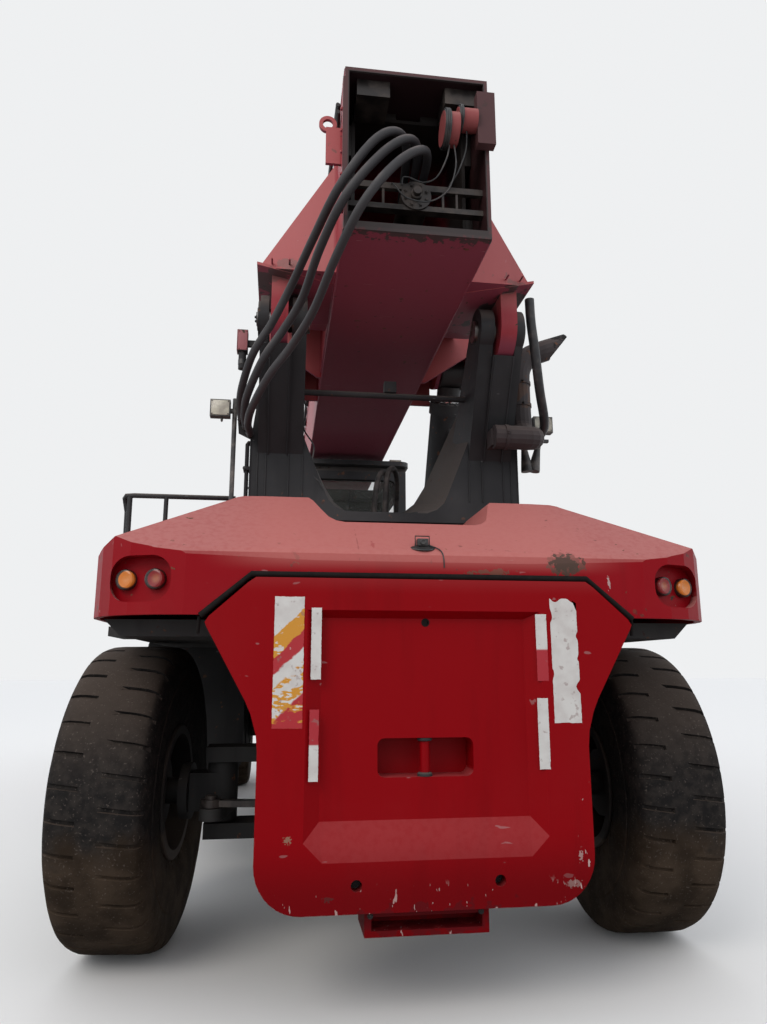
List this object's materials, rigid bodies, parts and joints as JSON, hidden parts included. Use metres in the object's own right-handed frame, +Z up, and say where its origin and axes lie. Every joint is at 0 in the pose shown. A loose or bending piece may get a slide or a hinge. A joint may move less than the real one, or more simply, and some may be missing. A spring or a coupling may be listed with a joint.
{
  "type": "reach stacker",
  "caption": "Container handler with a telescopic boom over a central cab, twin lift cylinders, a turning top spreader and steered rear wheels.",
  "frame": {"origin": "middle of the footprint, on the ground", "axes": "+X right, +Y forward (to the spreader), +Z up"},
  "size_m": [6.058, 11.4628, 4.638],
  "materials": {
    "frame_paint": "painted metal",
    "tower_paint": "painted metal",
    "counterweight_paint": "painted metal",
    "hood_paint": "painted metal",
    "lamp_plastic": "gloss plastic",
    "axle_paint": "painted metal",
    "pin_steel": "brushed steel",
    "engine_iron": "cast iron",
    "exhaust_steel": "painted metal",
    "lamp_housing": "matte plastic",
    "cab_paint": "painted metal",
    "cab_glazing": "glass",
    "seat_cover": "fabric",
    "console_plastic": "matte plastic",
    "boom_paint": "painted metal",
    "hose_rubber": "rubber",
    "spreader_paint": "painted metal",
    "rod_chrome": "chrome",
    "tyre_rubber": "tyre",
    "rim_paint": "painted metal"
  },
  "bodies": {
    "chassis": {"chassis_frame": "frame_paint", "rear_towers": "tower_paint", "counterweight": "counterweight_paint", "rear_hood": "hood_paint", "tail_lamps": "lamp_plastic", "drive_axle": "axle_paint", "steer_axle": "axle_paint", "steer_cylinder": "tower_paint", "engine_block": "engine_iron", "engine_hood": "tower_paint", "side_tanks": "hood_paint", "front_fenders": "tower_paint", "side_decks": "frame_paint", "handrails": "tower_paint", "exhaust_stack": "exhaust_steel", "work_lamps": "lamp_housing", "tower_fittings": "frame_paint", "mirrors": "lamp_housing", "cab_shell": "cab_paint", "cab_glass": "cab_glazing", "cab_seat": "seat_cover", "cab_console": "console_plastic", "cable_bundle": "hose_rubber"},
    "boom": {"outer_boom": "boom_paint", "boom_pins": "pin_steel", "tail_reel": "boom_paint", "telescope_barrel": "frame_paint", "boom_hoses": "hose_rubber"},
    "inner_boom": {"inner_boom": "boom_paint"},
    "hanger": {"hanger_yoke": "boom_paint"},
    "rotator": {"rotator_carriage": "tower_paint"},
    "spreader": {"spreader_frame": "spreader_paint"},
    "beam_left": {"spreader_beam_left": "spreader_paint"},
    "beam_right": {"spreader_beam_right": "spreader_paint"},
    "barrel_left": {"lift_barrel_left": "boom_paint"},
    "barrel_right": {"lift_barrel_right": "boom_paint"},
    "rod_left": {"lift_rod_left": "rod_chrome"},
    "rod_right": {"lift_rod_right": "rod_chrome"},
    "steer_rod": {"steer_rod": "pin_steel"},
    "steer_left": {"knuckle_left": "axle_paint"},
    "steer_right": {"knuckle_right": "axle_paint"},
    "rear_wheel_left": {"rear_tyre_left": "tyre_rubber", "rear_rim_left": "rim_paint"},
    "rear_wheel_right": {"rear_tyre_right": "tyre_rubber", "rear_rim_right": "rim_paint"},
    "front_wheels_left": {"front_tyres_left": "tyre_rubber", "front_rims_left": "rim_paint"},
    "front_wheels_right": {"front_tyres_right": "tyre_rubber", "front_rims_right": "rim_paint"},
    "door_left": {"cab_door_left": "cab_paint", "door_glass_left": "cab_glazing"},
    "door_right": {"cab_door_right": "cab_paint", "door_glass_right": "cab_glazing"}
  },
  "joints": [
    {"name": "boom_lift", "type": "hinge", "parent": "chassis", "child": "boom", "pos_m": [0, -4.6905, 3.58], "axis": [1, 0, 0], "range_deg": [0, 60], "deforming": ["boom_hoses"]},
    {"name": "boom_extend", "type": "slide", "parent": "boom", "child": "inner_boom", "axis": [0, 1, 0], "range_m": [0, 7]},
    {"name": "hanger_level", "type": "hinge", "parent": "inner_boom", "child": "hanger", "pos_m": [0, 4.4595, 3.42], "axis": [-1, 0, 0], "range_deg": [0, 60]},
    {"name": "rotator_turn", "type": "hinge", "parent": "hanger", "child": "rotator", "pos_m": [0, 4.4595, 2.8], "axis": [0, 0, 1], "range_deg": [-105, 195]},
    {"name": "spreader_shift", "type": "slide", "parent": "rotator", "child": "spreader", "axis": [1, 0, 0], "range_m": [-0.8, 0.8]},
    {"name": "beam_left_out", "type": "slide", "parent": "spreader", "child": "beam_left", "axis": [-1, 0, 0], "range_m": [0, 3.05]},
    {"name": "beam_right_out", "type": "slide", "parent": "spreader", "child": "beam_right", "axis": [1, 0, 0], "range_m": [0, 3.05]},
    {"name": "barrel_swing_left", "type": "hinge", "parent": "chassis", "child": "barrel_left", "pos_m": [-0.7, -1.8705, 1.25], "axis": [1, 0, 0], "range_deg": [-0.5, 4.79]},
    {"name": "rod_out_left", "type": "slide", "parent": "barrel_left", "child": "rod_left", "axis": [0, -0.4765, 0.8792], "range_m": [0, 1.4089]},
    {"name": "barrel_swing_right", "type": "hinge", "parent": "chassis", "child": "barrel_right", "pos_m": [0.7, -1.8705, 1.25], "axis": [1, 0, 0], "range_deg": [-0.5, 4.79]},
    {"name": "rod_out_right", "type": "slide", "parent": "barrel_right", "child": "rod_right", "axis": [0, -0.4765, 0.8792], "range_m": [0, 1.4089]},
    {"name": "steer_rod_shift", "type": "slide", "parent": "chassis", "child": "steer_rod", "axis": [1, 0, 0], "range_m": [-0.1741, 0.2174]},
    {"name": "steer_left", "type": "hinge", "parent": "chassis", "child": "steer_left", "pos_m": [-0.95, -4.4905, 0.798], "axis": [0, 0, 1], "range_deg": [-32, 40]},
    {"name": "steer_right", "type": "hinge", "parent": "chassis", "child": "steer_right", "pos_m": [0.95, -4.4905, 0.798], "axis": [0, 0, 1], "range_deg": [-32, 40]},
    {"name": "rear_wheel_spin_left", "type": "hinge", "parent": "steer_left", "child": "rear_wheel_left", "pos_m": [-1.41444, -4.44169, 0.798], "axis": [0.9945, -0.1045, 0], "continuous": true},
    {"name": "rear_wheel_spin_right", "type": "hinge", "parent": "steer_right", "child": "rear_wheel_right", "pos_m": [1.41684, -4.50272, 0.798], "axis": [0.9997, -0.0262, 0], "continuous": true},
    {"name": "front_wheels_spin_left", "type": "hinge", "parent": "chassis", "child": "front_wheels_left", "pos_m": [-1.51, 1.5095, 0.798], "axis": [1, 0, 0], "continuous": true},
    {"name": "front_wheels_spin_right", "type": "hinge", "parent": "chassis", "child": "front_wheels_right", "pos_m": [1.51, 1.5095, 0.798], "axis": [1, 0, 0], "continuous": true},
    {"name": "door_swing_left", "type": "hinge", "parent": "chassis", "child": "door_left", "pos_m": [-0.63, -1.1605, 2.6], "axis": [0, 0, 1], "range_deg": [0, 80]},
    {"name": "door_swing_right", "type": "hinge", "parent": "chassis", "child": "door_right", "pos_m": [0.63, -1.1605, 2.6], "axis": [0, 0, -1], "range_deg": [0, 80]}
  ],
  "couplings": [
    {"joint": "hanger_level", "follows": "boom_lift", "ratio": 1},
    {"joint": "beam_right_out", "follows": "beam_left_out", "ratio": 1},
    {"joint": "steer_right", "follows": "steer_left", "ratio": 1},
    {"joint": "steer_rod_shift", "follows": "steer_left", "m_per_rad": 0.31},
    {"joint": "barrel_swing_left", "follows": "boom_lift", "ratio": 0.071423},
    {"joint": "rod_out_left", "follows": "boom_lift", "m_per_rad": 1.3407},
    {"joint": "barrel_swing_right", "follows": "boom_lift", "ratio": 0.071423},
    {"joint": "rod_out_right", "follows": "boom_lift", "m_per_rad": 1.3407}
  ]
}
